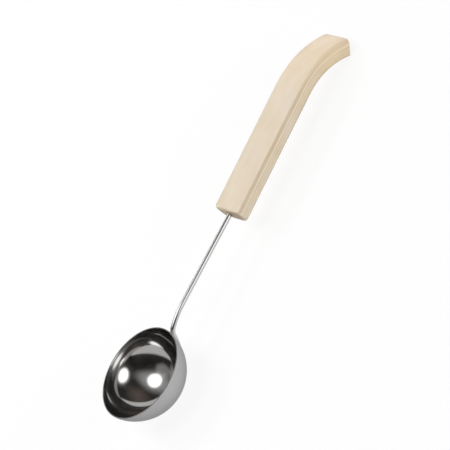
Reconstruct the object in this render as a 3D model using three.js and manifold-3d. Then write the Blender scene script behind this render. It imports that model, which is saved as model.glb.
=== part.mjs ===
// Sauna ladle: a pressed steel bowl, a bent steel stem welded to it, and a bent wooden handle glued on.
// Units are millimetres and +Z is up. The ladle lies as it is put down on a bench, on its bowl and its tip.
// The origin is the middle of the footprint, and +X runs along the handle.
import * as THREE from "three";
import { mergeVertices } from "three/addons/utils/BufferGeometryUtils.js";
import Module from "manifold-3d";

const wasm = await Module();
wasm.setup();

// Bowl
const BOWL_RIM_RADIUS = 48;
const BOWL_DEPTH = 42;
const BOWL_WALL = 0.8;

// Stem: its straight run lies below the plane of the rim, then it sinks in a wide shoulder,
// turns down in a tight elbow and follows the bowl
const STEM_DIAMETER = 5;
const STEM_DROP = 5.8;
const STEM_SHOULDER_RADIUS = 88;
const STEM_SHOULDER_ANGLE = THREE.MathUtils.degToRad(16);
const STEM_ELBOW_RADIUS = 9.8;
const STEM_ALONG_BOWL = 20;
const STEM_END_ROUND = 1.2;
const STEM_IN_HANDLE = 58;
const TAIL_RINGS = 6;
const TAIL_RING_PITCH = 6;
const TAIL_RING_DEPTH = 0.35;
const TAIL_RING_WIDTH = 1.6;

// Welds between bowl and stem
const WELD_THICKNESS = 0.5;
const WELD_LENGTH = 5.4;
const WELD_WIDTH = 4.4;
const WELD_HEIGHT = 3;
const WELD_SPACING = 9;

// Handle: a bar with a straight grip and a tip that bends down, its sides flat and its edges eased.
// Top and underside each have a straight length and a bend. The lean is how far the underside
// passes the top at the stem's end.
const HANDLE_FROM_BOWL = 173.4;
const HANDLE_WIDTH = 37.7;
const HANDLE_THICKNESS = 14.7;
const HANDLE_TOP_STRAIGHT = 133;
const HANDLE_TOP_BEND_RADIUS = 100.8;
const HANDLE_TOP_BEND_ANGLE = THREE.MathUtils.degToRad(43.2);
const HANDLE_UNDER_STRAIGHT = 135;
const HANDLE_UNDER_BEND_RADIUS = 75;
const HANDLE_UNDER_BEND_ANGLE = THREE.MathUtils.degToRad(46.4);
const HANDLE_PITCH = THREE.MathUtils.degToRad(1.8);
const HANDLE_END_LEAN = 1.3;
const HANDLE_TOP_EDGE_ROUND = 1.2;
const HANDLE_UNDER_EDGE_ROUND = 1.8;
const HANDLE_TOP_END_ROUND = 2.8;
const HANDLE_UNDER_END_ROUND = 1.4;
const HANDLE_CORNER_ROUND = 4.5;
const BORE_ABOVE_MIDDLE = 0.7;
const BORE_END_SPACE = 3;

// Glue film round the stem in the bore
const GLUE_THICKNESS = 0.2;
const GLUE_BELOW_MOUTH = 1;

// Least gap between two pieces that touch on the real ladle
const SEAT_GAP = 0.15;

// Facets
const BOWL_SIDES = 64;
const BOWL_STEPS = 13;
const LIP_STEPS = 4;
const STEM_SIDES = 16;
const SHOULDER_STEPS = 5;
const ELBOW_STEPS = 8;
const WRAP_STEPS = 6;
const END_STEPS = 3;
const BORE_SIDES = 24;
const WELD_SIDES = 20;
const HANDLE_BEND_STEPS = 12;
const HANDLE_END_STEPS = 5;
const HANDLE_EDGE_STEPS = 4;

// Worked out from the driving dimensions
const SPHERE_RADIUS = (BOWL_RIM_RADIUS ** 2 + BOWL_DEPTH ** 2) / (2 * BOWL_DEPTH);
const SPHERE_ABOVE_RIM = SPHERE_RADIUS - BOWL_DEPTH;
const STEM_RADIUS = STEM_DIAMETER / 2;
const WELD_GAP = WELD_THICKNESS + 2 * SEAT_GAP;
const STEM_WRAP_RADIUS = SPHERE_RADIUS + WELD_GAP + STEM_RADIUS;
const GLUE_INSIDE = STEM_RADIUS + SEAT_GAP;
const GLUE_OUTSIDE = GLUE_INSIDE + GLUE_THICKNESS;
const BORE_RADIUS = GLUE_OUTSIDE + SEAT_GAP;
const BORE_DEPTH = STEM_IN_HANDLE + BORE_END_SPACE;
const HANDLE_MIDDLE_RADIUS = (HANDLE_TOP_BEND_RADIUS + HANDLE_UNDER_BEND_RADIUS) / 2;
const HANDLE_LENGTH = HANDLE_TOP_STRAIGHT + HANDLE_MIDDLE_RADIUS * HANDLE_TOP_BEND_ANGLE;

// A closed three.js geometry as a solid for cutting and joining
function solidOf(geometry) {
  const bare = geometry.clone();
  bare.deleteAttribute("normal");
  bare.deleteAttribute("uv");
  const merged = mergeVertices(bare);
  return new wasm.Manifold(
    new wasm.Mesh({
      numProp: 3,
      vertProperties: merged.attributes.position.array,
      triVerts: new Uint32Array(merged.index.array),
    }),
  );
}

// A solid back as a three.js geometry
function geometryOf(solid) {
  const mesh = solid.getMesh();
  const geometry = new THREE.BufferGeometry();
  geometry.setAttribute("position", new THREE.BufferAttribute(mesh.vertProperties, 3));
  geometry.setIndex(new THREE.BufferAttribute(mesh.triVerts, 1));
  geometry.computeVertexNormals();
  return geometry;
}

function namedMesh(name, geometry, material) {
  const mesh = new THREE.Mesh(geometry, material);
  mesh.name = name;
  return mesh;
}

// Points of an arc in the plane of a profile, ends included
function arcPoints(centre, radius, from, to, steps) {
  return Array.from({ length: steps + 1 }, (_, i) => {
    const angle = THREE.MathUtils.lerp(from, to, i / steps);
    return new THREE.Vector2(centre.x + radius * Math.cos(angle), centre.y + radius * Math.sin(angle));
  });
}

// A profile of (radius, height) turned round the Z axis
function turned(points, sides) {
  return new THREE.LatheGeometry(points, sides).rotateX(Math.PI / 2);
}

const polishedSteel = new THREE.MeshStandardMaterial({ color: 0xc4c4c6, roughness: 0.12, metalness: 1 });
const weldedSteel = new THREE.MeshStandardMaterial({ color: 0x9c9a96, roughness: 0.45, metalness: 1 });
const paleWood = new THREE.MeshStandardMaterial({ color: 0xe5d6c0, roughness: 0.62, metalness: 0 });
const clearGlue = new THREE.MeshStandardMaterial({ color: 0xd9c79a, roughness: 0.35, metalness: 0 });

// Bowl: part of a sphere with an even wall and a rounded lip, its rim in the plane z = 0
function bowlGeometry() {
  const centre = new THREE.Vector2(0, SPHERE_ABOVE_RIM);
  const rimAngle = -Math.asin(SPHERE_ABOVE_RIM / SPHERE_RADIUS);
  const bottomAngle = -Math.PI / 2;
  const lipRadius = BOWL_WALL / 2;
  const lipCentre = new THREE.Vector2(
    (SPHERE_RADIUS - lipRadius) * Math.cos(rimAngle),
    centre.y + (SPHERE_RADIUS - lipRadius) * Math.sin(rimAngle),
  );
  const outside = arcPoints(centre, SPHERE_RADIUS, bottomAngle, rimAngle, BOWL_STEPS);
  const lip = arcPoints(lipCentre, lipRadius, rimAngle, rimAngle + Math.PI, LIP_STEPS);
  const inside = arcPoints(centre, SPHERE_RADIUS - BOWL_WALL, rimAngle, bottomAngle, BOWL_STEPS);
  const profile = [...outside, ...lip.slice(1, -1), ...inside];
  profile[0].x = 0;
  profile[profile.length - 1].x = 0;
  return turned(profile, BOWL_SIDES);
}

// Centres of the stem's shoulder and elbow: the elbow follows the shoulder and meets the curve along the bowl
const centreStep = new THREE.Vector2(-Math.sin(STEM_SHOULDER_ANGLE), Math.cos(STEM_SHOULDER_ANGLE));
centreStep.multiplyScalar(STEM_SHOULDER_RADIUS - STEM_ELBOW_RADIUS);
const elbowCentre = new THREE.Vector2(0, -STEM_DROP - STEM_SHOULDER_RADIUS + centreStep.y);
const elbowReach = STEM_WRAP_RADIUS + STEM_ELBOW_RADIUS;
const elbowBelowSphere = SPHERE_ABOVE_RIM - elbowCentre.y;
elbowCentre.x = Math.sqrt(elbowReach ** 2 - elbowBelowSphere ** 2);
const shoulderCentre = elbowCentre.clone().sub(centreStep);
const wrapStart = Math.asin(elbowBelowSphere / elbowReach);
const wrapEnd = wrapStart + STEM_ALONG_BOWL / STEM_WRAP_RADIUS;

// A place on the stem where it follows the bowl, by its angle below the sphere's centre
function wrapPlace(angle) {
  return {
    x: STEM_WRAP_RADIUS * Math.cos(angle),
    z: SPHERE_ABOVE_RIM - STEM_WRAP_RADIUS * Math.sin(angle),
    heading: 1.5 * Math.PI - angle,
  };
}

// The stem as places along its middle line, from its end in the handle to its end on the bowl
function stemPlaces() {
  const tailEnd = HANDLE_FROM_BOWL + STEM_IN_HANDLE;
  const straight = (x, radius) => ({ x, z: -STEM_DROP, heading: Math.PI, radius });
  const places = [];
  for (let i = 0; i <= END_STEPS; i++) {
    const angle = (i / END_STEPS) * (Math.PI / 2);
    const inward = STEM_END_ROUND * (1 - Math.sin(angle));
    places.push(straight(tailEnd - STEM_END_ROUND * (1 - Math.cos(angle)), STEM_RADIUS - inward));
  }
  for (let ring = 0; ring < TAIL_RINGS; ring++) {
    const middle = tailEnd - TAIL_RING_PITCH * (ring + 1);
    places.push(straight(middle + TAIL_RING_WIDTH / 2, STEM_RADIUS));
    places.push(straight(middle, STEM_RADIUS - TAIL_RING_DEPTH));
    places.push(straight(middle - TAIL_RING_WIDTH / 2, STEM_RADIUS));
  }
  places.push(straight(HANDLE_FROM_BOWL, STEM_RADIUS));
  const bent = (centre, radius, turn) => ({
    x: centre.x - radius * Math.sin(turn),
    z: centre.y + radius * Math.cos(turn),
    heading: Math.PI + turn,
    radius: STEM_RADIUS,
  });
  for (let i = 0; i <= SHOULDER_STEPS; i++) {
    const turn = (i / SHOULDER_STEPS) * STEM_SHOULDER_ANGLE;
    places.push(bent(shoulderCentre, STEM_SHOULDER_RADIUS, turn));
  }
  for (let i = 1; i <= ELBOW_STEPS; i++) {
    const turn = THREE.MathUtils.lerp(STEM_SHOULDER_ANGLE, Math.PI / 2 - wrapStart, i / ELBOW_STEPS);
    places.push(bent(elbowCentre, STEM_ELBOW_RADIUS, turn));
  }
  const wrapRound = wrapEnd - STEM_END_ROUND / STEM_WRAP_RADIUS;
  for (let i = 1; i <= WRAP_STEPS; i++) {
    const angle = THREE.MathUtils.lerp(wrapStart, wrapRound, i / WRAP_STEPS);
    places.push({ ...wrapPlace(angle), radius: STEM_RADIUS });
  }
  for (let i = 1; i <= END_STEPS; i++) {
    const angle = (i / END_STEPS) * (Math.PI / 2);
    const along = wrapRound + (STEM_END_ROUND * Math.sin(angle)) / STEM_WRAP_RADIUS;
    places.push({ ...wrapPlace(along), radius: STEM_RADIUS - STEM_END_ROUND * (1 - Math.cos(angle)) });
  }
  return places;
}

// A skin over rings with the same number of points, closed by a flat cap at each end
function lofted(rings) {
  const sides = rings[0].length;
  const faces = [];
  for (let ring = 0; ring + 1 < rings.length; ring++) {
    for (let side = 0; side < sides; side++) {
      const a = ring * sides + side;
      const b = ring * sides + ((side + 1) % sides);
      faces.push(a, b, a + sides, b, b + sides, a + sides);
    }
  }
  const lastRing = (rings.length - 1) * sides;
  for (let side = 1; side + 1 < sides; side++) {
    faces.push(0, side + 1, side);
    faces.push(lastRing, lastRing + side, lastRing + side + 1);
  }
  const geometry = new THREE.BufferGeometry().setFromPoints(rings.flat());
  geometry.setIndex(faces);
  geometry.computeVertexNormals();
  return geometry;
}

// A round bar through places in the plane y = 0, with a ring square to the line at each place
function roundBar(places, extraRadius = 0) {
  const rings = places.map(({ x, z, heading, radius }) =>
    Array.from({ length: STEM_SIDES }, (_, side) => {
      const angle = (side / STEM_SIDES) * 2 * Math.PI;
      const across = (radius + extraRadius) * Math.cos(angle);
      const up = (radius + extraRadius) * Math.sin(angle);
      return new THREE.Vector3(x - Math.sin(heading) * up, across, z + Math.cos(heading) * up);
    }),
  );
  return lofted(rings);
}

// One weld: a lump of metal between bowl and stem, hollowed where each of them lies
function weldGeometry(angle) {
  const seam = SPHERE_RADIUS + WELD_GAP / 2;
  const lump = new THREE.SphereGeometry(0.5, WELD_SIDES, WELD_SIDES / 2);
  lump.scale(WELD_HEIGHT, WELD_WIDTH, WELD_LENGTH);
  lump.rotateY(angle);
  lump.translate(seam * Math.cos(angle), 0, SPHERE_ABOVE_RIM - seam * Math.sin(angle));
  const bowlSpace = new THREE.SphereGeometry(SPHERE_RADIUS + SEAT_GAP, 2 * BOWL_SIDES, BOWL_SIDES);
  bowlSpace.translate(0, 0, SPHERE_ABOVE_RIM);
  const stemSpace = roundBar(stemPlaces(), SEAT_GAP);
  return geometryOf(solidOf(lump).subtract(solidOf(bowlSpace)).subtract(solidOf(stemSpace)));
}

// How far a round edge draws a face in, at a distance from the end that the edge runs along
function roundInset(round, fromEnd) {
  return fromEnd < round ? round - Math.sqrt(round ** 2 - (round - fromEnd) ** 2) : 0;
}

// A section of the handle, by its distance along the middle line from the stem's end. In the side view x runs
// to the tip and y is up, and the section's top and bottom lie on the outline. Towards both ends the section
// shrinks into the rounded corners.
function handleSection(along) {
  const half = HANDLE_THICKNESS / 2;
  const lean = (HANDLE_END_LEAN / 2) * (1 - along / HANDLE_LENGTH);
  const onOutline = (level, place, straight, radius, angle) => {
    const run = Math.min(place, straight);
    const turn = (angle * (place - run)) / (HANDLE_LENGTH - straight);
    return new THREE.Vector2(run + radius * Math.sin(turn), level - radius * (1 - Math.cos(turn)));
  };
  const topBend = [HANDLE_TOP_STRAIGHT, HANDLE_TOP_BEND_RADIUS, HANDLE_TOP_BEND_ANGLE];
  const underBend = [HANDLE_UNDER_STRAIGHT, HANDLE_UNDER_BEND_RADIUS, HANDLE_UNDER_BEND_ANGLE];
  const top = onOutline(half, along + lean, ...topBend);
  const bottom = onOutline(-half, along - lean, ...underBend);
  const rise = top.clone().sub(bottom).normalize();
  const fromEnd = Math.min(along, HANDLE_LENGTH - along);
  top.addScaledVector(rise, -roundInset(HANDLE_TOP_END_ROUND, fromEnd));
  bottom.addScaledVector(rise, roundInset(HANDLE_UNDER_END_ROUND, fromEnd));
  return { top, bottom, halfWidth: HANDLE_WIDTH / 2 - roundInset(HANDLE_CORNER_ROUND, fromEnd) };
}

// Sections from the stem's end to the tip: close together in the rounded ends and even in the bend
function handleSections() {
  const endReach = Math.max(HANDLE_CORNER_ROUND, HANDLE_TOP_END_ROUND);
  const intoEnd = Array.from(
    { length: HANDLE_END_STEPS + 1 },
    (_, i) => endReach * (1 - Math.cos((i / HANDLE_END_STEPS) * (Math.PI / 2))),
  );
  const bendReach = HANDLE_LENGTH - endReach - HANDLE_TOP_STRAIGHT;
  const bend = Array.from(
    { length: HANDLE_BEND_STEPS },
    (_, i) => HANDLE_TOP_STRAIGHT + (bendReach * i) / HANDLE_BEND_STEPS,
  );
  const tip = intoEnd.map((distance) => HANDLE_LENGTH - distance).reverse();
  return [...intoEnd, ...bend, ...tip].map(handleSection);
}

// The rounded rectangle of one section of the handle, in the handle's frame
function sectionRing({ top, bottom, halfWidth }) {
  const middle = top.clone().add(bottom).multiplyScalar(0.5);
  const rise = top.clone().sub(bottom).normalize();
  const halfHeight = top.distanceTo(bottom) / 2;
  const corners = [
    [1, 1, HANDLE_TOP_EDGE_ROUND],
    [-1, 1, HANDLE_TOP_EDGE_ROUND],
    [-1, -1, HANDLE_UNDER_EDGE_ROUND],
    [1, -1, HANDLE_UNDER_EDGE_ROUND],
  ];
  return corners.flatMap(([side, level, round], quarter) => {
    const from = (quarter * Math.PI) / 2;
    const centre = new THREE.Vector2(side * (halfWidth - round), level * (halfHeight - round));
    return arcPoints(centre, round, from, from + Math.PI / 2, HANDLE_EDGE_STEPS).map(
      (point) => new THREE.Vector3(middle.x + rise.x * point.y, point.x, middle.y + rise.y * point.y),
    );
  });
}

// Handle in its own frame, with the blind bore for the stem, which slopes by the handle's pitch
function handleGeometry() {
  const body = lofted(handleSections().map(sectionRing));
  const pastMouth = HANDLE_TOP_END_ROUND;
  const bore = new THREE.CylinderGeometry(BORE_RADIUS, BORE_RADIUS, BORE_DEPTH + pastMouth, BORE_SIDES);
  bore.rotateZ(-Math.PI / 2);
  bore.translate((BORE_DEPTH - pastMouth) / 2, 0, 0);
  bore.rotateY(HANDLE_PITCH);
  bore.translate(0, 0, BORE_ABOVE_MIDDLE);
  return geometryOf(solidOf(body).subtract(solidOf(bore)));
}

// Glue: a thin sleeve round the stem in the bore, closed past the stem's end
function glueGeometry() {
  const start = GLUE_BELOW_MOUTH;
  const pastStem = STEM_IN_HANDLE + SEAT_GAP;
  const end = pastStem + GLUE_THICKNESS;
  const profile = [
    [0, pastStem],
    [GLUE_INSIDE, pastStem],
    [GLUE_INSIDE, start],
    [GLUE_OUTSIDE, start],
    [GLUE_OUTSIDE, end],
    [0, end],
  ];
  const points = profile.map(([radius, along]) => new THREE.Vector2(radius, along));
  return turned(points, BORE_SIDES).rotateY(Math.PI / 2);
}

// The ladle in the frame of its bowl: rim centre at the origin, bowl axis along Z
const ladle = new THREE.Group();
ladle.add(namedMesh("bowl", bowlGeometry(), polishedSteel));
ladle.add(namedMesh("stem", roundBar(stemPlaces()), polishedSteel));

const weldMiddle = (wrapStart + wrapEnd) / 2;
const weldStep = WELD_SPACING / STEM_WRAP_RADIUS / 2;
ladle.add(namedMesh("weld_upper", weldGeometry(weldMiddle - weldStep), weldedSteel));
ladle.add(namedMesh("weld_lower", weldGeometry(weldMiddle + weldStep), weldedSteel));

const glue = namedMesh("glue_sleeve", glueGeometry(), clearGlue);
glue.position.set(HANDLE_FROM_BOWL, 0, -STEM_DROP);
ladle.add(glue);

const handle = namedMesh("handle", handleGeometry(), paleWood);
handle.position.set(HANDLE_FROM_BOWL, 0, -STEM_DROP - BORE_ABOVE_MIDDLE);
handle.rotation.y = -HANDLE_PITCH;
ladle.add(handle);

// Tilt that lays the bowl and the first point of the handle to come down on one level
handle.updateMatrix();
const levelTilts = handleSections().map(({ bottom }) => {
  const point = new THREE.Vector3(bottom.x, 0, bottom.y).applyMatrix4(handle.matrix);
  const below = point.z - SPHERE_ABOVE_RIM;
  return Math.atan2(below, point.x) + Math.asin(SPHERE_RADIUS / Math.hypot(point.x, below));
});
ladle.rotation.y = Math.min(...levelTilts);

// Footprint centred on the origin, lowest point on z = 0
const part = new THREE.Group();
part.add(ladle);
part.updateMatrixWorld(true);
const box = new THREE.Box3().setFromObject(part, true);
const middle = box.getCenter(new THREE.Vector3());
ladle.position.set(-middle.x, -middle.y, -box.min.z);

export default part;
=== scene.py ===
# Sauna ladle: polished bowl, polished stem and pale wooden handle, on a white floor in a small studio.
import math

import bmesh
import bpy
from mathutils import Matrix, Quaternion, Vector


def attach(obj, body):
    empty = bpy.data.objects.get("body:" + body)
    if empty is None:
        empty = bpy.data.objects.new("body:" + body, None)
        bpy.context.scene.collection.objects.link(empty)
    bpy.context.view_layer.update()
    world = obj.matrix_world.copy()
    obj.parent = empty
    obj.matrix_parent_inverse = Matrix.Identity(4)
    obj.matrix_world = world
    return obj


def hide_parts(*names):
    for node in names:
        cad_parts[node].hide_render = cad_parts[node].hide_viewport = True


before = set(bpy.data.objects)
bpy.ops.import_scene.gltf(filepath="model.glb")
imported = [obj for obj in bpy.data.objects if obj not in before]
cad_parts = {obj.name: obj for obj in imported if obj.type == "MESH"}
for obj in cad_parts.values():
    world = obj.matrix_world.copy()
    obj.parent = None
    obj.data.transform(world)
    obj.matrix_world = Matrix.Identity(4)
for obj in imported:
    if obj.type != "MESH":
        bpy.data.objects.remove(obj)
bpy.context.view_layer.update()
scene = bpy.context.scene

# Sizes of the part's source, in millimetres
BOWL_RIM_RADIUS = 48.0
BOWL_DEPTH = 42.0
BOWL_WALL = 0.8
STEM_RADIUS = 2.5
STEM_DROP = 5.8
STEM_SHOULDER_RADIUS = 88.0
STEM_SHOULDER_ANGLE = math.radians(16)
STEM_ELBOW_RADIUS = 9.8
STEM_ALONG_BOWL = 20.0
STEM_END_ROUND = 1.2
STEM_IN_HANDLE = 58.0
WELD_GAP = 0.8
WELD_SIZE = (3.0, 4.4, 5.4)
WELD_SPACING = 9.0
HANDLE_FROM_BOWL = 173.4
HANDLE_WIDTH = 37.7
HANDLE_THICKNESS = 14.7
HANDLE_TOP_STRAIGHT = 133.0
HANDLE_TOP_BEND_RADIUS = 100.8
HANDLE_TOP_BEND_ANGLE = math.radians(43.2)
HANDLE_UNDER_STRAIGHT = 135.0
HANDLE_UNDER_BEND_RADIUS = 75.0
HANDLE_UNDER_BEND_ANGLE = math.radians(46.4)
HANDLE_PITCH = math.radians(1.8)
HANDLE_END_LEAN = 1.3
HANDLE_TOP_EDGE_ROUND = 1.2
HANDLE_UNDER_EDGE_ROUND = 1.8
HANDLE_TOP_END_ROUND = 2.8
HANDLE_UNDER_END_ROUND = 1.4
HANDLE_CORNER_ROUND = 4.5
BORE_ABOVE_MIDDLE = 0.7
BORE_RADIUS = 3.0
BORE_DEPTH = 61.0
SEAT_GAP = 0.15

SPHERE_RADIUS = (BOWL_RIM_RADIUS**2 + BOWL_DEPTH**2) / (2 * BOWL_DEPTH)
SPHERE_ABOVE_RIM = SPHERE_RADIUS - BOWL_DEPTH
STEM_WRAP_RADIUS = SPHERE_RADIUS + WELD_GAP + STEM_RADIUS
HANDLE_MIDDLE_RADIUS = (HANDLE_TOP_BEND_RADIUS + HANDLE_UNDER_BEND_RADIUS) / 2
HANDLE_LENGTH = HANDLE_TOP_STRAIGHT + HANDLE_MIDDLE_RADIUS * HANDLE_TOP_BEND_ANGLE
HANDLE_TOP_BEND = (HANDLE_TOP_STRAIGHT, HANDLE_TOP_BEND_RADIUS, HANDLE_TOP_BEND_ANGLE)
HANDLE_UNDER_BEND = (HANDLE_UNDER_STRAIGHT, HANDLE_UNDER_BEND_RADIUS, HANDLE_UNDER_BEND_ANGLE)

# Where the ladle lies: the centre of its rim and the tilt at which bowl and tip both touch the floor
MM = 0.001
REST_TILT = math.radians(1.799832)
RIM_CENTRE = Vector((-162.9118, 0, 42.0032))
LADLE = Matrix.Scale(MM, 4) @ Matrix.Translation(RIM_CENTRE) @ Matrix.Rotation(REST_TILT, 4, "Y")
HANDLE_PLACE = Matrix.Translation((HANDLE_FROM_BOWL, 0, -STEM_DROP - BORE_ABOVE_MIDDLE))
HANDLE = LADLE @ HANDLE_PLACE @ Matrix.Rotation(-HANDLE_PITCH, 4, "Y")


# Node helpers
def add_node(tree, kind, inputs=None, **settings):
    node = tree.nodes.new(kind)
    for name, value in settings.items():
        setattr(node, name, value)
    for key, value in (inputs or {}).items():
        if isinstance(value, bpy.types.NodeSocket):
            tree.links.new(value, node.inputs[key])
        else:
            node.inputs[key].default_value = value
    return node


def calc(tree, operation, first, second=0.0, third=0.0, clamp=False):
    inputs = {0: first, 1: second, 2: third}
    return add_node(tree, "ShaderNodeMath", inputs, operation=operation, use_clamp=clamp).outputs[0]


def times(tree, first, second):
    return calc(tree, "MULTIPLY", first, second)


def plus(tree, base, value, weight, clamp=False):
    """The base with the weighted value added."""
    return calc(tree, "MULTIPLY_ADD", value, weight, base, clamp)


def varied(tree, base, value, weight, clamp=False):
    """The base with the weighted value added so that a value of one half changes nothing."""
    return plus(tree, calc(tree, "ADD", base, -weight / 2), value, weight, clamp)


def vector_calc(tree, operation, first, second=(0, 0, 0), output="Vector"):
    inputs = {0: first, 1: second}
    return add_node(tree, "ShaderNodeVectorMath", inputs, operation=operation).outputs[output]


def axes(tree, vector):
    return add_node(tree, "ShaderNodeSeparateXYZ", {0: vector}).outputs


def noise(tree, vector, scale, detail, roughness=0.5):
    spots = vector_calc(tree, "MULTIPLY", vector, scale)
    inputs = {"Vector": spots, "Scale": 1.0, "Detail": detail, "Roughness": roughness}
    return add_node(tree, "ShaderNodeTexNoise", inputs).outputs["Fac"]


# The sockets of the mix node that carry colours
MIX_COLOURS = (6, 7)
MIX_RESULT = 2


def mixed(tree, share, first, second):
    node = add_node(tree, "ShaderNodeMix", {"Factor": share}, data_type="RGBA")
    for index, value in zip(MIX_COLOURS, (first, second)):
        if isinstance(value, bpy.types.NodeSocket):
            tree.links.new(value, node.inputs[index])
        else:
            node.inputs[index].default_value = (*value, 1)
    return node.outputs[MIX_RESULT]


def ranged(tree, value, low, high, to_low=0.0, to_high=1.0, smooth=False):
    inputs = {"Value": value, "From Min": low, "From Max": high, "To Min": to_low, "To Max": to_high}
    kind = "SMOOTHSTEP" if smooth else "LINEAR"
    return add_node(tree, "ShaderNodeMapRange", inputs, interpolation_type=kind).outputs[0]


def mark(tree, name, output):
    return add_node(tree, "ShaderNodeAttribute", attribute_name=name).outputs[output]


def new_material(name):
    material = bpy.data.materials.new(name)
    material.use_nodes = True
    tree = material.node_tree
    return material, tree, tree.nodes["Principled BSDF"]


def new_steel(name):
    material, tree, shader = new_material(name)
    shader.inputs["Metallic"].default_value = 1.0
    return material, tree, shader


def feed(tree, shader, colour, roughness):
    tree.links.new(colour, shader.inputs["Base Color"])
    tree.links.new(roughness, shader.inputs["Roughness"])


def bumped(tree, shader, height, strength, distance):
    inputs = {"Height": height, "Strength": strength, "Distance": distance}
    bump = add_node(tree, "ShaderNodeBump", inputs)
    tree.links.new(bump.outputs[0], shader.inputs["Normal"])


# Steel and glue: each has two tones that noise mixes, and the roughness of its smoothest spots
INSIDE_TONES = ((0.55, 0.542, 0.533), (0.61, 0.601, 0.592))
# The outside's darker tones are painted shade, standing for the shadowed floor that its lower side mirrors
OUTSIDE_PAINTED_SHADE_TONES = ((0.335, 0.33, 0.332), (0.375, 0.37, 0.372))
OUTSIDE_UNSHADED_TONES = ((0.435, 0.43, 0.434), (0.485, 0.48, 0.484))
LIP_TONES = ((0.24, 0.237, 0.234), (0.32, 0.316, 0.312))
STEM_TONES = ((0.50, 0.49, 0.485), (0.57, 0.56, 0.555))
WELD_TONES = ((0.46, 0.44, 0.40), (0.58, 0.57, 0.57))
GLUE_TONES = ((0.66, 0.54, 0.30), (0.76, 0.66, 0.42))
POLISHED = 0.005
SATIN = 0.26
GROUND = 0.45
AS_WELDED = 0.28
SET_GLUE = 0.25
# The outside has painted shade, darker tones, at the end away from the stem, and its unshaded tones from
# near its middle on, in metres
OUTSIDE_SHADE_FADE = (-0.046, -0.004)
SATIN_EDGE_TINT = (0.55, 0.55, 0.55, 1)


# On the bowl "spin" holds the place across it and the distance along its profile, in metres
def bowl_inside_material():
    material, tree, shader = new_steel("polished_inside")
    spin = mark(tree, "spin", "Vector")
    rings = noise(tree, spin, scale=(6, 6, 2600), detail=3)
    haze = noise(tree, spin, scale=(40, 40, 40), detail=3)
    scuffs = noise(tree, spin, scale=(9000, 9000, 9000), detail=1)
    wave = noise(tree, spin, scale=(55, 55, 55), detail=1)
    gloss = plus(tree, plus(tree, POLISHED, haze, weight=0.04), rings, weight=0.04)
    scuffed = ranged(tree, scuffs, low=0.55, high=0.68, to_high=0.28)
    feed(tree, shader, mixed(tree, haze, *INSIDE_TONES), calc(tree, "ADD", scuffed, gloss))
    bumped(tree, shader, plus(tree, wave, rings, weight=0.02), strength=0.35, distance=0.0002)
    return material


def bowl_outside_material():
    material, tree, shader = new_steel("satin_outside")
    spin = mark(tree, "spin", "Vector")
    rings = noise(tree, spin, scale=(9, 9, 5200), detail=4, roughness=0.6)
    cloud = noise(tree, spin, scale=(30, 30, 60), detail=3)
    # Painted shade: darker steel towards the end away from the stem, fading out by its middle
    out_of_shade = ranged(tree, axes(tree, spin)["X"], *OUTSIDE_SHADE_FADE)
    painted_shade = mixed(tree, cloud, *OUTSIDE_PAINTED_SHADE_TONES)
    unshaded = mixed(tree, cloud, *OUTSIDE_UNSHADED_TONES)
    gloss = plus(tree, SATIN, cloud, weight=0.08)
    feed(tree, shader, mixed(tree, out_of_shade, painted_shade, unshaded), plus(tree, gloss, rings, weight=0.12))
    shader.inputs["Specular Tint"].default_value = SATIN_EDGE_TINT
    bumped(tree, shader, rings, strength=0.12, distance=0.00004)
    return material


def bowl_lip_material():
    material, tree, shader = new_steel("ground_lip")
    ground = noise(tree, mark(tree, "spin", "Vector"), scale=(900, 900, 900), detail=3)
    feed(tree, shader, mixed(tree, ground, *LIP_TONES), plus(tree, GROUND, ground, weight=0.2))
    bumped(tree, shader, ground, strength=0.2, distance=0.00003)
    return material


# On the stem "run" holds the distance along it and the place in its section, in metres
def stem_material():
    material, tree, shader = new_steel("polished_stem")
    run = mark(tree, "run", "Vector")
    drawn = noise(tree, run, scale=(12, 900, 900), detail=3)
    haze = noise(tree, run, scale=(60, 300, 300), detail=2)
    gloss = plus(tree, POLISHED, haze, weight=0.02)
    feed(tree, shader, mixed(tree, haze, *STEM_TONES), plus(tree, gloss, drawn, weight=0.04))
    bumped(tree, shader, drawn, strength=0.03, distance=0.00001)
    return material


def weld_material():
    material, tree, shader = new_steel("weld_metal")
    place = add_node(tree, "ShaderNodeTexCoord").outputs["Object"]
    heat = noise(tree, place, scale=(300, 300, 300), detail=3)
    grit = noise(tree, place, scale=(2500, 2500, 2500), detail=3)
    feed(tree, shader, mixed(tree, heat, *WELD_TONES), plus(tree, AS_WELDED, grit, weight=0.25))
    bumped(tree, shader, grit, strength=0.4, distance=0.00008)
    return material


def glue_material():
    material, tree, shader = new_material("set_glue")
    place = add_node(tree, "ShaderNodeTexCoord").outputs["Object"]
    flow = noise(tree, place, scale=(120, 400, 400), detail=3)
    feed(tree, shader, mixed(tree, flow, *GLUE_TONES), plus(tree, SET_GLUE, flow, weight=0.2))
    bumped(tree, shader, flow, strength=0.3, distance=0.0001)
    return material


# Wood: "grain" holds the place in the bar before it was bent, in metres, as length, width and height
# The yearly layers lie almost flat in the bar, so they show as lines on its sides and hardly on top.
# Each layer is a share of the way from the lowest to the highest one, and a tone from pale 0 to deep 1.
PITH = (0, -0.03, -0.42)
LAYERS_FROM = 0.4125
LAYERS_TO = 0.4305
LAYERS = (
    (0.0, 0.36), (0.09, 0.56), (0.10, 0.26), (0.18, 0.54), (0.19, 0.26), (0.27, 0.46), (0.28, 0.22),
    (0.36, 0.56), (0.37, 0.28), (0.44, 0.46), (0.45, 0.26), (0.51, 0.44), (0.525, 0.0), (0.605, 0.0),
    (0.615, 0.78), (0.80, 0.68), (0.835, 0.24), (1.0, 0.30),
)
LAYER_WANDER = 0.02
LAYERS_PALED = 0.04
LAYERS_LOST_AT_TIP = 0.8
TIP_LAYER_TONE = (0.20, 0.20, 0.20)

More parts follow.
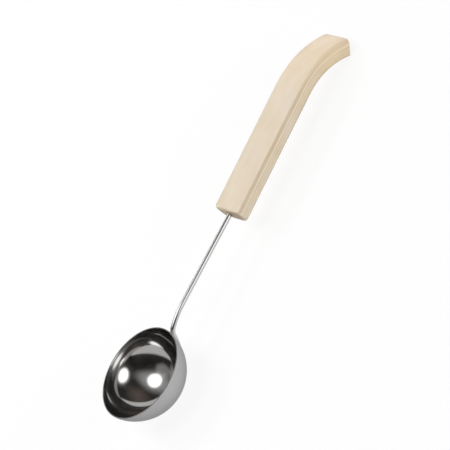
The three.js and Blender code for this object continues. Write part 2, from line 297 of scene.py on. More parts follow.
# Where along the bar the colours of the tip and of its very end come in. On the top they are lighter:
# painted light at the very end, and at the tip partly the wood's warmer tone and partly painted light
TIP_FADE = (0.105, 0.18)
END_FADE = (0.170, 0.184)
# Heights between which the colour of the top gives way to that of the sides, on the grip and at the tip
GRIP_SIDE_FADE = (0.0072, 0.0058)
TIP_SIDE_FADE = (0.00732, 0.0070)
# Heights over which the lower edges turn darker brown, and the strength of that brown on all edges of the
# tip, where it is painted shade
LOWER_EDGE_DARK_FADE = (-0.004, -0.006)
TIP_EDGE_PAINTED_SHADE = 0.13
# Places across the bar, from near to far, over which the end faces' colour, end grain with painted shade in
# it, gets weaker
END_GRAIN_AND_SHADE_FADE = (-0.006, 0.014)

TOP_GRIP_COLOUR = (0.83, 0.73, 0.578)
TOP_TIP_WARMTH_AND_PAINTED_LIGHT_COLOUR = (0.91, 0.747, 0.566)
TOP_END_PAINTED_LIGHT_COLOUR = (0.945, 0.79, 0.62)
SIDE_GRIP_COLOUR = (0.83, 0.72, 0.545)
SIDE_TIP_COLOUR = (0.88, 0.725, 0.51)
PATCH_COLOUR = (0.82, 0.725, 0.615)
DEEP_GRIP_COLOUR = (0.635, 0.497, 0.318)
DEEP_TIP_COLOUR = (0.66, 0.495, 0.27)
END_GRAIN_AND_SHADE_COLOUR = (0.42, 0.31, 0.208)
RUBBED_COLOUR = (0.70, 0.575, 0.43)
DARK_EDGE_AND_SHADE_COLOUR = (0.46, 0.30, 0.14)
SANDED = 0.46
WOOD_SPECULAR = 0.35


def wood_layers(tree, grain, to_tip):
    """The tone of the yearly layer at a place, which evens out towards the tip."""
    in_section = vector_calc(tree, "MULTIPLY", grain, (0, 1, 1))
    from_pith = vector_calc(tree, "DISTANCE", in_section, PITH, output="Value")
    wander = noise(tree, grain, scale=(10, 25, 25), detail=2)
    wander = ranged(tree, wander, low=0.3, high=0.7, to_low=-LAYER_WANDER, to_high=LAYER_WANDER)
    share = calc(tree, "ADD", ranged(tree, from_pith, LAYERS_FROM, LAYERS_TO), wander)
    node = add_node(tree, "ShaderNodeValToRGB", {"Fac": share})
    stops = node.color_ramp.elements
    while len(stops) < len(LAYERS):
        stops.new(1.0)
    for stop, (position, tone) in zip(stops, LAYERS):
        stop.position = position
        stop.color = (tone, tone, tone, 1)
    return mixed(tree, times(tree, to_tip, LAYERS_LOST_AT_TIP), node.outputs["Color"], TIP_LAYER_TONE)


def wood_tone(tree, grain, layers, fibre, mottle, line_strength):
    """How deep the colour is at a place, from pale 0 to deep 1."""
    lines = noise(tree, grain, scale=(6, 40, 640), detail=3, roughness=0.6)
    pores = noise(tree, grain, scale=(150, 2600, 2600), detail=1)
    streaks = noise(tree, grain, scale=(5, 420, 420), detail=2)
    line_tone = times(tree, calc(tree, "SUBTRACT", lines, 0.5), line_strength)
    tone = calc(tree, "ADD", line_tone, calc(tree, "ADD", layers, -LAYERS_PALED))
    tone = varied(tree, tone, fibre, weight=0.34)
    tone = plus(tree, tone, ranged(tree, pores, low=0.62, high=0.74), weight=0.16)
    tone = plus(tree, tone, ranged(tree, streaks, low=0.64, high=0.78), weight=0.20)
    return varied(tree, tone, mottle, weight=0.70, clamp=True)


def wood_colour(tree, grain, tone, to_tip, below_top):
    """The colour of the fresh sanded wood, with painted light on the top towards the tip and its end."""
    patch = noise(tree, grain, scale=(28, 34, 34), detail=3, roughness=0.6)
    to_end = ranged(tree, axes(tree, grain)["X"], *END_FADE, smooth=True)
    # Painted light: the top gets lighter towards the tip and its end, where it bends away from the lamps
    top = mixed(tree, to_tip, TOP_GRIP_COLOUR, TOP_TIP_WARMTH_AND_PAINTED_LIGHT_COLOUR)
    top = mixed(tree, to_end, top, TOP_END_PAINTED_LIGHT_COLOUR)
    side = mixed(tree, to_tip, SIDE_GRIP_COLOUR, SIDE_TIP_COLOUR)
    pale = mixed(tree, below_top, top, side)
    pale = mixed(tree, ranged(tree, patch, low=0.42, high=0.68, to_high=0.7), pale, PATCH_COLOUR)
    deep = mixed(tree, to_tip, DEEP_GRIP_COLOUR, DEEP_TIP_COLOUR)
    return mixed(tree, tone, pale, deep)


def worn_and_shaded_colour(tree, grain, colour, mottle, to_tip):
    """The colour with the end grain and painted shade on the end faces, the rubbed edges, darker brown
    lower edges and painted shade on the edges of the tip.
    """
    # Painted shade: the end faces are darkened both as end grain and as shade, most on the near side
    end_grain_and_shade = ranged(tree, axes(tree, grain)["Y"], *END_GRAIN_AND_SHADE_FADE, to_low=0.92, to_high=0.62)
    colour = mixed(tree, times(tree, mark(tree, "end", "Fac"), end_grain_and_shade), colour, END_GRAIN_AND_SHADE_COLOUR)
    edge = mark(tree, "edge", "Fac")
    rubbed = times(tree, edge, ranged(tree, mottle, low=0.3, high=0.7, to_low=0.1, to_high=0.45))
    rubbed = times(tree, rubbed, ranged(tree, to_tip, low=0.0, high=1.0, to_low=1.0, to_high=0.3))
    colour = mixed(tree, rubbed, colour, RUBBED_COLOUR)
    under = ranged(tree, axes(tree, grain)["Z"], *LOWER_EDGE_DARK_FADE, to_high=0.75)
    # Painted shade: the tip's edges are darkened towards the tone of the side
    dark_edge_and_shade = calc(tree, "MAXIMUM", under, times(tree, to_tip, TIP_EDGE_PAINTED_SHADE))
    return mixed(tree, times(tree, edge, dark_edge_and_shade), colour, DARK_EDGE_AND_SHADE_COLOUR)


def wood_material():
    material, tree, shader = new_material("pale_wood")
    grain = mark(tree, "grain", "Vector")
    length, _, height = axes(tree, grain)
    to_tip = ranged(tree, length, *TIP_FADE, smooth=True)
    below_on_grip = ranged(tree, height, *GRIP_SIDE_FADE)
    below_at_tip = ranged(tree, height, *TIP_SIDE_FADE)
    below_top = plus(tree, below_on_grip, calc(tree, "SUBTRACT", below_at_tip, below_on_grip), to_tip)
    fibre = noise(tree, grain, scale=(30, 1300, 1300), detail=3, roughness=0.6)
    mottle = noise(tree, grain, scale=(34, 60, 60), detail=3, roughness=0.55)
    layers = wood_layers(tree, grain, to_tip)
    line_strength = ranged(tree, to_tip, low=0.0, high=1.0, to_low=1.4, to_high=3.2)
    tone = wood_tone(tree, grain, layers, fibre, mottle, times(tree, below_top, line_strength))
    colour = wood_colour(tree, grain, tone, to_tip, below_top)
    colour = worn_and_shaded_colour(tree, grain, colour, mottle, to_tip)
    feed(tree, shader, colour, plus(tree, SANDED, fibre, weight=0.22))
    shader.inputs["Specular IOR Level"].default_value = WOOD_SPECULAR
    bumped(tree, shader, plus(tree, fibre, layers, weight=-0.4), strength=0.25, distance=0.00006)
    return material


# Mesh helpers
def spread(start, end, steps):
    return [start + (end - start) * i / steps for i in range(steps + 1)]


def full_turn(sides):
    return [2 * math.pi * side / sides for side in range(sides)]


def eased(share):
    return share * share * (3 - 2 * share)


def arc(centre, radius, start, end, steps):
    turns = spread(start, end, steps)
    return [(centre[0] + radius * math.cos(t), centre[1] + radius * math.sin(t)) for t in turns]


def make_piece(name, points, faces, place, materials, node, marks):
    """A mesh that replaces a node of the CAD, with marks on its points for the materials."""
    mesh = bpy.data.meshes.new(name)
    mesh.from_pydata([place @ Vector(p) for p in points], [], faces)
    for key, values in marks.items():
        is_vector = hasattr(values[0], "__len__")
        layer = mesh.attributes.new(key, "FLOAT_VECTOR" if is_vector else "FLOAT", "POINT")
        flat = [x for value in values for x in value] if is_vector else values
        layer.data.foreach_set("vector" if is_vector else "value", flat)
    for material in materials:
        mesh.materials.append(material)
    made = bmesh.new()
    made.from_mesh(mesh)
    bmesh.ops.recalc_face_normals(made, faces=made.faces)
    made.to_mesh(mesh)
    made.free()
    mesh.shade_smooth()
    piece = bpy.data.objects.new(name, mesh)
    scene.collection.objects.link(piece)
    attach(piece, "root")
    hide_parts(node)
    return piece


def skin(rings):
    """Points and faces of a skin over closed rings, with a fan over the first and the last ring."""
    sides = len(rings[0])
    points = [p for ring in rings for p in ring]
    faces = []
    for row in range(len(rings) - 1):
        for side in range(sides):
            a, b = row * sides + side, row * sides + (side + 1) % sides
            faces.append((a, b, b + sides, a + sides))
    for ring, first in ((rings[0], 0), (rings[-1], (len(rings) - 1) * sides)):
        middle = sum((Vector(p) for p in ring), Vector()) / sides
        points.append(tuple(middle))
        faces += [(first + side, first + (side + 1) % sides, len(points) - 1) for side in range(sides)]
    return points, faces


# Bowl: turned from its profile, mirror inside and satin outside
BOWL_SIDES = 160
BOWL_STEPS = 64
LIP_STEPS = 8
INSIDE_LOOK = 0
OUTSIDE_LOOK = 1
LIP_LOOK = 2
# The reflections in the photograph show a wall that stands nearly upright at the rim.
# The inside leans inwards from the sphere by RIM_LEAN at the rim, and by nothing RIM_LEAN_DEPTH below it.
# There it lies RIM_LEAN_BACK outside the sphere, and it is back on the sphere at RIM_LEAN_FADE.
RIM_LEAN = math.radians(9)
RIM_LEAN_DEPTH = 10.0
RIM_LEAN_BACK = 0.25
RIM_LEAN_FADE = 26.0
# The outside lies this far inside the sphere at the rim, and on it from this depth on
OUTSIDE_LEAN = 0.3
OUTSIDE_LEAN_DEPTH = 5.0


def upright_inside(point):
    """The point of the inside with the wall turned upright towards the rim."""
    radius, height = point
    depth = max(0.0, -height)
    if depth < RIM_LEAN_DEPTH:
        inward = RIM_LEAN * (RIM_LEAN_DEPTH - depth) ** 2 / (2 * RIM_LEAN_DEPTH) - RIM_LEAN_BACK
    else:
        share = min(1.0, (depth - RIM_LEAN_DEPTH) / (RIM_LEAN_FADE - RIM_LEAN_DEPTH))
        inward = RIM_LEAN_BACK * (eased(share) - 1)
    return (radius - inward, height)


def upright_outside(point):
    """The point of the outside with the wall turned upright towards the rim."""
    radius, height = point
    share = max(0.0, 1 + height / OUTSIDE_LEAN_DEPTH)
    return (radius - OUTSIDE_LEAN * share**2, height)


def bowl_profile():
    """Radius and height along the outside up to the rim, over the lip and down the inside."""
    centre = (0, SPHERE_ABOVE_RIM)
    rim = -math.asin(SPHERE_ABOVE_RIM / SPHERE_RADIUS)
    bottom = -math.pi / 2
    outside = arc(centre, SPHERE_RADIUS, bottom, rim, BOWL_STEPS)
    outside = [upright_outside(point) for point in outside]
    inside = arc(centre, SPHERE_RADIUS - BOWL_WALL, rim, bottom, BOWL_STEPS)
    inside = [upright_inside(point) for point in inside]
    across = Vector(outside[-1]) - Vector(inside[0])
    lip_centre = Vector(inside[0]) + across / 2
    lip_start = math.atan2(across.y, across.x)
    lip = arc(lip_centre, across.length / 2, lip_start, lip_start + math.pi, LIP_STEPS)[1:-1]
    return outside, lip, inside


def make_bowl():
    outside, lip, inside = bowl_profile()
    profile = outside[1:] + lip + inside[:-1]
    rings, spin = [], []
    run = 0.0
    for i, (radius, height) in enumerate(profile):
        run += math.dist(profile[i], profile[i - 1]) * MM if i else 0.0
        circle = [(radius * math.cos(turn), radius * math.sin(turn)) for turn in full_turn(BOWL_SIDES)]
        rings.append([(x, y, height) for x, y in circle])
        spin += [(x * MM, y * MM, run) for x, y in circle]
    points, faces = skin(rings)
    points[-2] = (0, 0, outside[0][1])
    points[-1] = (0, 0, inside[-1][1])
    spin += [(0, 0, 0), (0, 0, run)]
    materials = [bowl_inside_material(), bowl_outside_material(), bowl_lip_material()]
    marks = {"spin": spin}
    bowl = make_piece("bowl_shell", points, faces, LADLE, materials, "bowl", marks)
    lip_row = len(outside) - 2
    inside_row = lip_row + len(lip) + 1
    outside_fan_row = len(profile) - 1
    for index, face in enumerate(bowl.data.polygons):
        row = index // BOWL_SIDES
        if row < lip_row or row == outside_fan_row:
            face.material_index = OUTSIDE_LOOK
        elif row < inside_row:
            face.material_index = LIP_LOOK
        else:
            face.material_index = INSIDE_LOOK


# Stem: straight, wide shoulder, tight elbow, then along the bowl
STEM_SIDES = 64
STEM_END_STEPS = 6
STEM_STRAIGHT_STEPS = 40
STEM_SHOULDER_STEPS = 36
STEM_ELBOW_STEPS = 40
STEM_WRAP_STEPS = 20


def stem_layout():
    """The middles of shoulder and elbow, and the angles at which the run along the bowl starts and ends."""
    between = STEM_SHOULDER_RADIUS - STEM_ELBOW_RADIUS
    step_x = -math.sin(STEM_SHOULDER_ANGLE) * between
    step_z = math.cos(STEM_SHOULDER_ANGLE) * between
    elbow_z = -STEM_DROP - STEM_SHOULDER_RADIUS + step_z
    reach = STEM_WRAP_RADIUS + STEM_ELBOW_RADIUS
    below = SPHERE_ABOVE_RIM - elbow_z
    elbow_x = math.sqrt(reach**2 - below**2)
    wrap_start = math.asin(below / reach)
    wrap_end = wrap_start + STEM_ALONG_BOWL / STEM_WRAP_RADIUS
    return (elbow_x - step_x, elbow_z - step_z), (elbow_x, elbow_z), wrap_start, wrap_end


def on_bend(centre, radius, turn):
    x = centre[0] - radius * math.sin(turn)
    z = centre[1] + radius * math.cos(turn)
    return (x, z, math.pi + turn, STEM_RADIUS)


def on_wrap(angle, radius=STEM_RADIUS):
    x = STEM_WRAP_RADIUS * math.cos(angle)
    z = SPHERE_ABOVE_RIM - STEM_WRAP_RADIUS * math.sin(angle)
    return (x, z, 1.5 * math.pi - angle, radius)


def stem_line():
    """Places along the stem from its end in the handle: x, z, heading and radius."""
    shoulder, elbow, wrap_start, wrap_end = stem_layout()
    tail = HANDLE_FROM_BOWL + STEM_IN_HANDLE
    round_start = wrap_end - STEM_END_ROUND / STEM_WRAP_RADIUS
    end_turns = spread(0, math.pi / 2, STEM_END_STEPS)
    straight = spread(tail - 2 * STEM_END_ROUND, shoulder[0], STEM_STRAIGHT_STEPS)[:-1]
    shoulder_turns = spread(0, STEM_SHOULDER_ANGLE, STEM_SHOULDER_STEPS)
    elbow_turns = spread(STEM_SHOULDER_ANGLE, math.pi / 2 - wrap_start, STEM_ELBOW_STEPS)[1:]
    wrap_angles = spread(wrap_start, round_start, STEM_WRAP_STEPS)[1:]
    line = []
    for turn in end_turns:
        x = tail - STEM_END_ROUND * (1 - math.cos(turn))
        line.append((x, -STEM_DROP, math.pi, STEM_RADIUS - STEM_END_ROUND * (1 - math.sin(turn))))
    line += [(x, -STEM_DROP, math.pi, STEM_RADIUS) for x in straight]
    line += [on_bend(shoulder, STEM_SHOULDER_RADIUS, turn) for turn in shoulder_turns]
    line += [on_bend(elbow, STEM_ELBOW_RADIUS, turn) for turn in elbow_turns]
    line += [on_wrap(angle) for angle in wrap_angles]
    for turn in end_turns[1:]:
        angle = round_start + STEM_END_ROUND * math.sin(turn) / STEM_WRAP_RADIUS
        line.append(on_wrap(angle, STEM_RADIUS - STEM_END_ROUND * (1 - math.cos(turn))))
    return line


def make_stem():
    line = stem_line()
    rings, run = [], []
    along = 0.0
    for i, (x, z, heading, radius) in enumerate(line):
        along += math.dist(line[i][:2], line[i - 1][:2]) * MM if i else 0.0
        ring = []
        for turn in full_turn(STEM_SIDES):
            across, up = radius * math.cos(turn), radius * math.sin(turn)
            ring.append((x - math.sin(heading) * up, across, z + math.cos(heading) * up))
            run.append((along, across * MM, up * MM))
        rings.append(ring)
    points, faces = skin(rings)
    run += [(0, 0, 0), (along, 0, 0)]
    make_piece("stem_bar", points, faces, LADLE, [stem_material()], "stem", {"run": run})


# Welds: rippled lumps that fill the seam between bowl and stem
WELD_SIDES = 48
WELD_ROWS = 28
WELD_RIPPLE = 0.04
WELD_RIPPLE_RATE = 9


def clear_of_neighbours(point, middle):
    """The point moved out of the stem and then of the bowl, each with the gap of a seat."""
    from_middle = point - middle
    radial = Vector((from_middle.x, 0, from_middle.z))
    axis_point = middle + radial.normalized() * STEM_WRAP_RADIUS
    from_axis = point - axis_point
    if from_axis.length < STEM_RADIUS + SEAT_GAP:
        point = axis_point + from_axis.normalized() * (STEM_RADIUS + SEAT_GAP)
    from_middle = point - middle
    if from_middle.length < SPHERE_RADIUS + SEAT_GAP:
        point = middle + from_middle.normalized() * (SPHERE_RADIUS + SEAT_GAP)
    return point


def make_weld(name, node, angle, material):
    middle = Vector((0, 0, SPHERE_ABOVE_RIM))
    outward = Vector((math.cos(angle), 0, -math.sin(angle)))
    along = Vector((-math.sin(angle), 0, -math.cos(angle)))
    across = Vector((0, 1, 0))
    seam = middle + outward * (SPHERE_RADIUS + WELD_GAP / 2)
    thick, wide, long = WELD_SIZE
    rings = []
    for row in range(1, WELD_ROWS):
        polar = math.pi * row / WELD_ROWS
        ripple = 1 + WELD_RIPPLE * math.sin(WELD_RIPPLE_RATE * polar)
        flat = math.sin(polar) * ripple / 2
        ring = []
        for turn in full_turn(WELD_SIDES):
            point = seam + along * (long / 2 * math.cos(polar))
            point += outward * (thick * flat * math.cos(turn)) + across * (wide * flat * math.sin(turn))
            ring.append(tuple(clear_of_neighbours(point, middle)))
        rings.append(ring)
    points, faces = skin(rings)
    make_piece(name, points, faces, LADLE, [material], node, {})


def make_welds():
    _, _, wrap_start, wrap_end = stem_layout()
    middle = (wrap_start + wrap_end) / 2
    step = WELD_SPACING / STEM_WRAP_RADIUS / 2
    material = weld_material()
    make_weld("weld_bead_upper", "weld_upper", middle - step, material)
    make_weld("weld_bead_lower", "weld_lower", middle + step, material)


# Handle: a loft over rounded sections, with the bore as its inner end
EDGE_STEPS = 7
BROAD_STEPS = 14
SIDE_STEPS = 6
HANDLE_END_STEPS = 10
HANDLE_STRAIGHT_STEPS = 18
HANDLE_BEND_STEPS = 28
END_GRAIN_REACH = 2.0
BORE_PLACES = (BORE_DEPTH, 20.0, 4.0, 0.4)
BORE_MOUTH_WIDENING = 0.15
# The near top edge is sanded rounder towards the tip: its radius at places along the handle
TIP_EDGE_ROUND = 5.8
END_EDGE_ROUND = 4.2
NEAR_EDGE_ROUND = (
    (0.0, HANDLE_TOP_EDGE_ROUND),
    (150.0, HANDLE_TOP_EDGE_ROUND),
    (174.0, TIP_EDGE_ROUND),
    (184.0, TIP_EDGE_ROUND),
    (HANDLE_LENGTH, END_EDGE_ROUND),
)


def round_inset(radius, from_end):
    return radius - math.sqrt(radius**2 - (radius - from_end) ** 2) if from_end < radius else 0.0


def near_edge_round(along):
    """The radius of the near top edge at a place along the handle."""
    for (start, low), (end, high) in zip(NEAR_EDGE_ROUND, NEAR_EDGE_ROUND[1:]):
        if along <= end:
            return low + (high - low) * eased((along - start) / (end - start))
    return END_EDGE_ROUND


def on_outline(level, place, bend):
    """A point of the side view, on the top or the underside, by its place along the middle line."""
    straight, radius, angle = bend
    run = min(place, straight)
    turn = angle * (place - run) / (HANDLE_LENGTH - straight)
    return Vector((run + radius * math.sin(turn), level - radius * (1 - math.cos(turn))))


def section_outline(half_width, half_height, near_round):
    """The points round a section, each with its edge mark, which is strongest in the middle of an edge."""
    corners = (
        (1, 1, HANDLE_TOP_EDGE_ROUND),
        (-1, 1, near_round),
        (-1, -1, HANDLE_UNDER_EDGE_ROUND),
        (1, -1, HANDLE_UNDER_EDGE_ROUND),
    )
    bends = []
    for quarter, (side, level, radius) in enumerate(corners):
        start = quarter * math.pi / 2
        centre = (side * (half_width - radius), level * (half_height - radius))
        bends.append(arc(centre, radius, start, start + math.pi / 2, EDGE_STEPS))
    outline = []
    for quarter, bend in enumerate(bends):
        outline += [(point, math.sin(math.pi * i / EDGE_STEPS)) for i, point in enumerate(bend)]
        last, target = bend[-1], bends[(quarter + 1) % len(bends)][0]
        steps = BROAD_STEPS if quarter % 2 == 0 else SIDE_STEPS
        flat = list(zip(spread(last[0], target[0], steps), spread(last[1], target[1], steps)))
        outline += [(point, 0.0) for point in flat[1:-1]]
    return outline


def handle_ring(along):
    """A section's points, and for each its place in the straight bar, its end mark and its edge mark."""
    half = HANDLE_THICKNESS / 2
    lean = HANDLE_END_LEAN / 2 * (1 - along / HANDLE_LENGTH)
    top = on_outline(half, along + lean, HANDLE_TOP_BEND)
    low = on_outline(-half, along - lean, HANDLE_UNDER_BEND)
    rise = (top - low).normalized()
    stretch = (top - low).length / HANDLE_THICKNESS
    from_end = min(along, HANDLE_LENGTH - along)
    top_inset = round_inset(HANDLE_TOP_END_ROUND, from_end)
    under_inset = round_inset(HANDLE_UNDER_END_ROUND, from_end)
    middle = (top - rise * top_inset + low + rise * under_inset) / 2
    half_height = ((top - low).length - top_inset - under_inset) / 2
    half_width = HANDLE_WIDTH / 2 - round_inset(HANDLE_CORNER_ROUND, from_end)
    facing_end = max(0.0, 1 - from_end / END_GRAIN_REACH)
    ring, grain, edge = [], [], []
    for (y, up), edging in section_outline(half_width, half_height, near_edge_round(along)):
        ring.append((middle.x + rise.x * up, y, middle.y + rise.y * up))
        grain.append((along * MM, y * MM, (up + (under_inset - top_inset) / 2) / stretch * MM))
        edge.append(edging)
    return ring, grain, [facing_end] * len(ring), edge


def bore_ring(first_ring, depth, radius):
    """A ring of the bore and its marks, with a point for each point of the handle's first section."""
    slope = Vector((math.cos(HANDLE_PITCH), 0, -math.sin(HANDLE_PITCH)))
    lift = Vector((math.sin(HANDLE_PITCH), 0, math.cos(HANDLE_PITCH)))
    middle = Vector((0, 0, BORE_ABOVE_MIDDLE)) + slope * depth
    ring, grain = [], []
    for _, y, z in first_ring:
        turn = math.atan2(z - BORE_ABOVE_MIDDLE, y)
        side = Vector((0, radius * math.cos(turn), 0)) + lift * (radius * math.sin(turn))
        point = middle + side
        if depth == 0:
            point.x = HANDLE_END_LEAN * point.z / HANDLE_THICKNESS
        ring.append(tuple(point))
        grain.append((depth * MM, point.y * MM, (point.z - BORE_ABOVE_MIDDLE) * MM))
    return ring, grain, [1.0] * len(ring), [0.0] * len(ring)


def handle_stations():
    """Places along the handle, close together where its ends are rounded."""
    end_turns = spread(0, math.pi / 2, HANDLE_END_STEPS)
    into_end = [HANDLE_CORNER_ROUND * (1 - math.cos(turn)) for turn in end_turns]
    straight = spread(HANDLE_CORNER_ROUND, HANDLE_TOP_STRAIGHT, HANDLE_STRAIGHT_STEPS)[1:]
    bend = spread(HANDLE_TOP_STRAIGHT, HANDLE_LENGTH - HANDLE_CORNER_ROUND, HANDLE_BEND_STEPS)[1:-1]
    tip = [HANDLE_LENGTH - distance for distance in reversed(into_end)]
    return into_end + straight + bend + tip


def make_handle():
    sections = [handle_ring(along) for along in handle_stations()]
    first_ring = sections[0][0]
    bore = [bore_ring(first_ring, depth, BORE_RADIUS) for depth in BORE_PLACES]
    bore.append(bore_ring(first_ring, 0, BORE_RADIUS + BORE_MOUTH_WIDENING))
    rows = bore + sections
    points, faces = skin([row[0] for row in rows])
    fan_grain = [(BORE_DEPTH * MM, 0, 0), (HANDLE_LENGTH * MM, 0, 0)]
    marks = {
        "grain": [value for row in rows for value in row[1]] + fan_grain,
        "end": [value for row in rows for value in row[2]] + [1.0, 1.0],
        "edge": [value for row in rows for value in row[3]] + [0.0, 0.0],
    }
    materials = [wood_material()]
    handle = make_piece("handle_bar", points, faces, HANDLE, materials, "handle", marks)
    handle.modifiers.new("even_shading", "WEIGHTED_NORMAL").keep_sharp = True


# Glue: it keeps its solid from the CAD
def dress_glue():
    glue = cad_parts["glue_sleeve"]
    glue.data.materials.clear()
    glue.data.materials.append(glue_material())


# Floor: white where it is seen or mirrored, with the ladle's shadow on it
FLOOR_HALF = 30.0
FLOOR_TONES = ((0.83, 0.83, 0.83), (0.85, 0.85, 0.85))
FLOOR_GLOW = 0.89
FLOOR_SHADE = (0.11, 0.11, 0.11, 1)


def floor_material():
    material = bpy.data.materials.new("white_floor")
    material.use_nodes = True
    tree = material.node_tree
    tree.nodes.clear()
    path = add_node(tree, "ShaderNodeLightPath").outputs
    seen = calc(tree, "ADD", path["Is Camera Ray"], path["Is Glossy Ray"])
    seen = calc(tree, "ADD", seen, path["Is Transmission Ray"], clamp=True)
    place = add_node(tree, "ShaderNodeTexCoord").outputs["Object"]
    paint = mixed(tree, noise(tree, place, scale=(40, 40, 40), detail=3), *FLOOR_TONES)
    matt = add_node(tree, "ShaderNodeBsdfDiffuse", {"Color": paint}).outputs[0]
    shade = add_node(tree, "ShaderNodeBsdfDiffuse", {"Color": FLOOR_SHADE}).outputs[0]
    glow = add_node(tree, "ShaderNodeEmission", {"Color": (1, 1, 1, 1), "Strength": FLOOR_GLOW}).outputs[0]
    shown = add_node(tree, "ShaderNodeAddShader", {0: shade, 1: glow}).outputs[0]
    both = add_node(tree, "ShaderNodeMixShader", {0: seen, 1: matt, 2: shown}).outputs[0]
    add_node(tree, "ShaderNodeOutputMaterial", {"Surface": both})
    return material


def make_floor():
    mesh = bpy.data.meshes.new("floor")
    signs = ((-1, -1), (1, -1), (1, 1), (-1, 1))
    corners = [(x * FLOOR_HALF, y * FLOOR_HALF, 0) for x, y in signs]
    mesh.from_pydata(corners, [], [(0, 1, 2, 3)])
    mesh.materials.append(floor_material())
    floor = bpy.data.objects.new("floor", mesh)
    scene.collection.objects.link(floor)


# World: a pale band low round the floor and a dim room above it
ROOM_TONES = ((0.004, 0.004, 0.004), (0.036, 0.034, 0.032))
BAND_COLOUR = (1, 1, 1)
BAND_FADE = (0.07, 0.13)


def make_world():
    world = bpy.data.worlds.new("room")
    world.use_nodes = True
    scene.world = world
    tree = world.node_tree
    tree.nodes.clear()
    way = add_node(tree, "ShaderNodeTexCoord").outputs["Generated"]
    clutter = ranged(tree, noise(tree, way, scale=(2.2, 2.2, 2.2), detail=3), low=0.35, high=0.7)
    above_band = ranged(tree, axes(tree, way)["Z"], *BAND_FADE, smooth=True)
    room = mixed(tree, above_band, BAND_COLOUR, mixed(tree, clutter, *ROOM_TONES))
    light = add_node(tree, "ShaderNodeBackground", {"Color": room, "Strength": 1.0}).outputs[0]
    add_node(tree, "ShaderNodeOutputWorld", {"Surface": light})


# Lamps: each is set by its azimuth and elevation from the ladle and its half angles, all in degrees
# A lamp that lights the wood enough is far too bright in a mirror, so bright ones come in pairs.
# One of a pair lights matt surfaces, and the other is mirrored in shiny ones.
LAMP_DISTANCE = 2.4
LAMP_AIM = Vector((-0.1, 0, 0.03))
LAMP_MIDDLE = (0.5, 0.5, 0)
LAMP_EDGE = 0.5


def direction(azimuth, elevation):
    a, e = math.radians(azimuth), math.radians(elevation)
    return Vector((math.sin(a) * math.cos(e), -math.cos(a) * math.cos(e), math.sin(e)))


def fade_lamp(tree, is_round, soft):
    """Dims a lamp towards its edge, over a share of the way from its middle."""
    spot = add_node(tree, "ShaderNodeNewGeometry").outputs["Parametric"]
    offset = vector_calc(tree, "SUBTRACT", spot, LAMP_MIDDLE)
    if is_round:
        out = vector_calc(tree, "LENGTH", offset, output="Value")
    else:
        sides = axes(tree, vector_calc(tree, "ABSOLUTE", offset))
        out = calc(tree, "MAXIMUM", sides["X"], sides["Y"])
    fade = ranged(tree, out, LAMP_EDGE * (1 - soft), LAMP_EDGE, to_low=1.0, to_high=0.0, smooth=True)
    tree.links.new(fade, tree.nodes["Emission"].inputs["Strength"])


def softbox(name, place, half_angles, roll, brightness, soft, shape="ELLIPSE", colour=(1, 1, 1), use="all"):
    """An area lamp to light matt surfaces, to be mirrored in shiny ones, or for all of that."""
    is_round = shape == "ELLIPSE"
    wide, high = (2 * LAMP_DISTANCE * math.tan(math.radians(half)) for half in half_angles)
    data = bpy.data.lights.new(name, "AREA")
    data.shape = shape
    data.color = colour
    data.size = wide
    data.size_y = high
    data.energy = brightness * math.pi * data.size * data.size_y * (math.pi / 4 if is_round else 1)
    data.use_nodes = True
    fade_lamp(data.node_tree, is_round, soft)
    lamp = bpy.data.objects.new(name, data)
    towards = direction(*place)
    lamp.location = LAMP_AIM + towards * LAMP_DISTANCE
    lamp.rotation_mode = "QUATERNION"
    turned = Quaternion((0, 0, 1), math.radians(roll))
    lamp.rotation_quaternion = towards.to_track_quat("Z", "Y") @ turned
    lamp.visible_camera = False
    lamp.visible_diffuse = use != "mirror"
    lamp.visible_glossy = use != "light"
    scene.collection.objects.link(lamp)


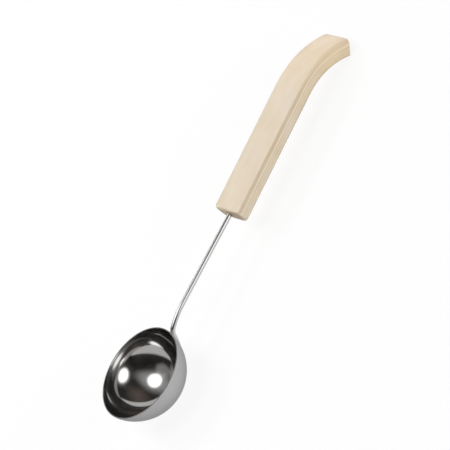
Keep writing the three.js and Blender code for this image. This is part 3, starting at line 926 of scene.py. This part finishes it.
def make_lamps():
    box, wood = "RECTANGLE", (1, 0.8, 0.66)
    softbox("overhead", (283, 86.5), (20, 13.6), roll=-14, brightness=6.5, soft=0.48, use="light")
    softbox("overhead_mirrored", (281, 86.7), (22, 18), roll=-9, brightness=2.3, soft=0.5, use="mirror")
    softbox("overhead_glow", (231, 89.4), (57, 28.5), roll=41, brightness=0.5, soft=1.0)
    softbox("beside_camera", (17, 15.6), (18.5, 10.4), roll=-6, brightness=10.6, soft=0.56, use="light")
    softbox(
        "beside_camera_mirrored", (18, 18), (21.5, 15.4), roll=0, brightness=2.7, soft=0.58, use="mirror"
    )
    softbox("beside_camera_glow", (20, 19), (30, 19), roll=0, brightness=0.4, soft=1.0)
    softbox("backdrop", (181, 27), (45, 23), roll=24, brightness=0.55, soft=0.8, shape=box)
    softbox("backlight", (177, 49), (22, 8.8), roll=-7, brightness=9.6, soft=0.5, use="light")
    softbox("backlight_mirrored", (174, 43.5), (20, 11), roll=-8, brightness=3.1, soft=0.5, use="mirror")
    softbox("card_left", (267, 17), (63, 20), roll=-6, brightness=0.64, soft=0.3, shape=box)
    softbox("card_right", (113, 11), (55, 28), roll=34, brightness=0.64, soft=0.08, shape=box)
    softbox("card_left_high", (246, 61), (25, 17), roll=14, brightness=0.24, soft=0.55)
    softbox("wood_wall", (80, 46), (40, 26), roll=0, brightness=0.11, soft=0.9, colour=wood)


# Camera: the photograph's view, with a long lens from about four metres
CAMERA_RIGHT = Vector((0.443435, -0.579900, -0.683434))
CAMERA_UP = Vector((0.887101, 0.174949, 0.427136))
CAMERA_BACK = Vector((-0.128131, -0.795682, 0.592008))
# How far the camera is from the rim's centre to the right, up and back, in millimetres
RIM_TO_RIGHT = 79.76
RIM_TO_UP = 138.70
RIM_TO_BACK = 4182.8
SENSOR = 36.0
FOCAL_PIXELS = 4463.0
IMAGE_PIXELS = 450.0
CLIP_END = 200.0


def make_camera():
    data = bpy.data.cameras.new("camera")
    data.sensor_width = SENSOR
    data.lens = FOCAL_PIXELS / IMAGE_PIXELS * SENSOR
    data.clip_end = CLIP_END
    camera = bpy.data.objects.new("camera", data)
    offset = CAMERA_RIGHT * RIM_TO_RIGHT + CAMERA_UP * RIM_TO_UP + CAMERA_BACK * RIM_TO_BACK
    turned = Matrix((CAMERA_RIGHT, CAMERA_UP, CAMERA_BACK)).transposed().to_4x4()
    camera.matrix_world = Matrix.Translation((RIM_CENTRE + offset) * MM) @ turned
    scene.collection.objects.link(camera)
    scene.camera = camera


make_bowl()
make_stem()
make_welds()
make_handle()
dress_glue()
make_floor()
make_world()
make_lamps()
make_camera()
scene.view_settings.view_transform = "Standard"
